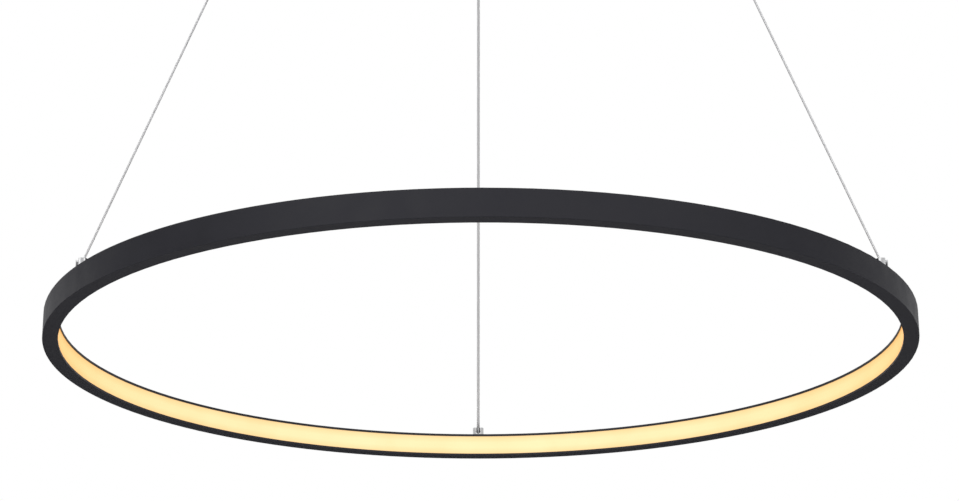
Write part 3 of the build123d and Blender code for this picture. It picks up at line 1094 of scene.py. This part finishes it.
@dataclass(frozen=True)
class Flag:
    """A dark card between two corners, which lies flat where they have one level and else stands."""

    name: str
    low: Place
    high: Place

    def corners(self) -> list[Place]:
        """Go round the card.

        Returns:
            Its four corners.
        """
        (x0, y0, z0), (x1, y1, z1) = self.low, self.high
        if z0 == z1:
            return [(x0, y0, z0), (x1, y0, z0), (x1, y1, z0), (x0, y1, z0)]
        return [(x0, y0, z0), (x1, y1, z0), (x1, y1, z1), (x0, y0, z1)]


@dataclass
class Stage:
    """The floor, the light and the camera.

    Places are in metres, the camera's angles in radians and its focal length in the photo's pixels.
    """

    floor_level: float = -1.75
    floor_radius: float = 40.0
    floor_sides: int = 96
    floor_colour: Colour = (0.84, 0.84, 0.84)
    floor_roughness: float = 0.9
    sky: float = 0.55
    lamps: tuple[Lamp, ...] = (Lamp("key", 1.1, 48.0, -35.0), Lamp("fill", 0.45, 62.0, 60.0))
    flags: tuple[Flag, ...] = (
        Flag("flag_left", (-2.4, -1.6, -1.4), (-2.4, 0.5, 1.6)),
        Flag("flag_right", (2.4, -1.6, -1.4), (2.4, 0.5, 1.6)),
        Flag("flag_behind", (-3.0, 0.9, -1.74), (3.0, 5.5, -1.74)),
    )
    cloth_colour: Colour = (0.01, 0.01, 0.01)
    cloth_roughness: float = 0.95
    camera_place: Place = (-0.004348, -2.134380, -1.457536)
    camera_pitch: float = 0.31983
    camera_yaw: float = 0.00158
    camera_roll: float = 0.00211
    camera_round: float = 0.0054
    focal_pixels: float = 2394.54
    sensor: float = 36.0
    clip: Span = (0.05, 200.0)

    def build(self) -> None:
        """Set up everything round the object."""
        self._floor()
        self._world()
        self._lamps()
        self._flags()
        self._camera()
        bpy.context.scene.view_settings.view_transform = "Standard"

    def _floor(self) -> None:
        """Lay the pale floor, which doesn't show from below."""
        reach, level = self.floor_radius, self.floor_level
        turns = [FULL_TURN * k / self.floor_sides for k in range(self.floor_sides)]
        rim = [(reach * math.cos(turn), reach * math.sin(turn), level) for turn in turns]
        mesh = new_mesh("floor", rim, [tuple(range(self.floor_sides))])
        floor = put("floor", mesh)
        paint = bpy.data.materials.new("floor_paint")
        paint.use_nodes = True
        desk = Desk(paint.node_tree)
        shader = paint.node_tree.nodes["Principled BSDF"]
        shader.inputs["Base Color"].default_value = (*self.floor_colour, 1.0)
        shader.inputs["Roughness"].default_value = self.floor_roughness
        shader.inputs["Specular IOR Level"].default_value = 0.0
        mix = desk.add("ShaderNodeMixShader")
        desk.feed(mix.inputs[0], desk.add("ShaderNodeNewGeometry").outputs["Backfacing"])
        desk.feed(mix.inputs[1], shader.outputs[0])
        desk.feed(mix.inputs[2], desk.add("ShaderNodeBsdfTransparent").outputs[0])
        desk.feed(paint.node_tree.nodes["Material Output"].inputs["Surface"], mix.outputs[0])
        mesh.materials.append(paint)

    def _world(self) -> None:
        """A sky that is white to see and to reflect, and softer as light."""
        world = bpy.data.worlds.new("sky")
        bpy.context.scene.world = world
        world.use_nodes = True
        desk = Desk(world.node_tree)
        rays = desk.add("ShaderNodeLightPath").outputs
        seen = desk.math("ADD", rays["Is Camera Ray"], rays["Is Glossy Ray"], clamp=True)
        seen = desk.math("ADD", seen, rays["Is Transmission Ray"], clamp=True)
        level = desk.stretch(seen, 0.0, 1.0, self.sky, 1.0)
        sky = world.node_tree.nodes["Background"]
        sky.inputs["Color"].default_value = (1.0, 1.0, 1.0, 1.0)
        desk.feed(sky.inputs["Strength"], level)

    def _lamps(self) -> None:
        """Two broad soft lamps, one from each side of the viewer."""
        for lamp in self.lamps:
            light = bpy.data.lights.new(lamp.name, "SUN")
            light.energy = lamp.strength
            light.angle = math.radians(lamp.spread)
            holder = put(lamp.name, light)
            holder.rotation_euler = (math.radians(lamp.pitch), 0.0, math.radians(lamp.heading))

    def _flags(self) -> None:
        """Dark cards beside and behind the object, which show only in its gloss."""
        cloth = bpy.data.materials.new("flag_cloth")
        cloth.use_nodes = True
        shader = cloth.node_tree.nodes["Principled BSDF"].inputs
        shader["Base Color"].default_value = (*self.cloth_colour, 1.0)
        shader["Roughness"].default_value = self.cloth_roughness
        shader["Specular IOR Level"].default_value = 0.0
        for flag in self.flags:
            mesh = new_mesh(flag.name, flag.corners(), [(0, 1, 2, 3)])
            mesh.materials.append(cloth)
            card = put(flag.name, mesh)
            card.visible_camera = card.visible_diffuse = False
            card.visible_shadow = card.visible_transmission = False

    def _camera(self) -> None:
        """The photograph's camera, below the ring and tipped up to it."""
        lens = bpy.data.cameras.new("viewer")
        lens.sensor_fit = "HORIZONTAL"
        lens.sensor_width = self.sensor
        lens.lens = self.focal_pixels * self.sensor / PHOTO_WIDTH
        lens.clip_start, lens.clip_end = self.clip
        viewer = put("viewer", lens)
        heading = Matrix.Rotation(-self.camera_yaw, 4, "Z")
        tip = Matrix.Rotation(math.pi / 2 + self.camera_pitch, 4, "X")
        roll = Matrix.Rotation(-self.camera_roll, 4, "Z")
        place = Matrix.Rotation(-self.camera_round, 4, "Z") @ Matrix.Translation(self.camera_place)
        viewer.matrix_world = place @ heading @ tip @ roll
        bpy.context.scene.camera = viewer


@dataclass
class Dresser:
    """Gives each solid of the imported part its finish."""

    effects: Effects

    def finishes(self) -> dict[str, Finish]:
        """The finish of each record slot.

        Returns:
            Finishes by slot.
        """
        low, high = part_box("diffuser")
        middle, half = (low[2] + high[2]) / 2, (high[2] - low[2]) / 2
        black = (0.0115, 0.0112, 0.016)
        return {
            "black_paint": PowderCoat("black_coat", black, 0.62),
            "socket_paint": PowderCoat("black_coat_socket", black, 0.62),
            "opal": OpalGlow("opal_glow", (0.20, 0.17, 0.12), 0.45, middle=middle, half_height=half),
            "strip": Moulded("strip_film", (0.86, 0.86, 0.84), 0.45, depth=0.00001),
            "chip": Moulded("phosphor", (0.95, 0.75, 0.15), 0.3, mottle=(0.9, 0.65, 0.1), depth=0.00001),
            "steel_line": TurnedMetal("drawn_wire", (0.60, 0.60, 0.61), 0.38, marks=900.0),
            "clear_sheath": ClearTube("clear_cover", (0.68, 0.68, 0.69), 0.5),
            "tinned_copper": TurnedMetal("tinned_wire", (0.74, 0.73, 0.71), 0.28, marks=900.0),
            "nickel": TurnedMetal("satin_nickel", (0.50, 0.50, 0.505), 0.2, tarnish=(0.24, 0.24, 0.25)),
            "gripper_metal": TurnedMetal("gripper_nickel", (0.80, 0.79, 0.77), 0.14),
            "jaw_steel": TurnedMetal("hard_steel", (0.4, 0.4, 0.42), 0.35),
            "spring_steel": TurnedMetal("spring_wire", (0.5, 0.5, 0.5), 0.3),
            "liner_plastic": Moulded("liner", (0.82, 0.82, 0.79), 0.4),
            "zinc": TurnedMetal("zinc_plate", (0.62, 0.63, 0.65), 0.32, tarnish=(0.5, 0.5, 0.47)),
            "driver_plastic": Moulded("driver_shell", (0.8, 0.8, 0.79), 0.5, mottle=(0.74, 0.74, 0.72)),
            "board": Moulded("solder_mask", (0.02, 0.12, 0.05), 0.35, mottle=(0.03, 0.16, 0.07)),
            "winding": Moulded("winding_tape", (0.6, 0.42, 0.05), 0.4, mottle=(0.65, 0.48, 0.08)),
            "can": Moulded("can_sleeve", (0.03, 0.03, 0.05), 0.35, mottle=(0.05, 0.05, 0.07)),
            "lead_cover": Moulded("lead_cover", (0.02, 0.02, 0.02), 0.5, mottle=(0.035, 0.035, 0.035)),
        }

    def dress(self) -> Surfaces:
        """Put the finishes on the solids.

        Returns:
            The materials, by record slot.
        """
        surfaces = {slot: finish.material(self.effects) for slot, finish in self.finishes().items()}
        for row in frame["record"]["subparts"]:
            solid = frame["nodes"][row["node"]]
            solid.data.materials.clear()
            solid.data.materials.append(surfaces[row["material_slot"]])
            log.info("%s: %s", row["node"], row["material_slot"])
        return surfaces


def main() -> None:
    """Dress the solids, hang the lines and set the stage."""
    logging.basicConfig(level=logging.INFO, format="%(message)s")
    surfaces = Dresser(Effects()).dress()
    pieces = [*Suspension().build(surfaces), *Springs().build(surfaces), PanScrews().build(surfaces)]
    for piece in pieces:
        log.info("%s: %d points", piece.name, len(piece.data.vertices))
    Stage().build()


if __name__ == "__main__":
    main()
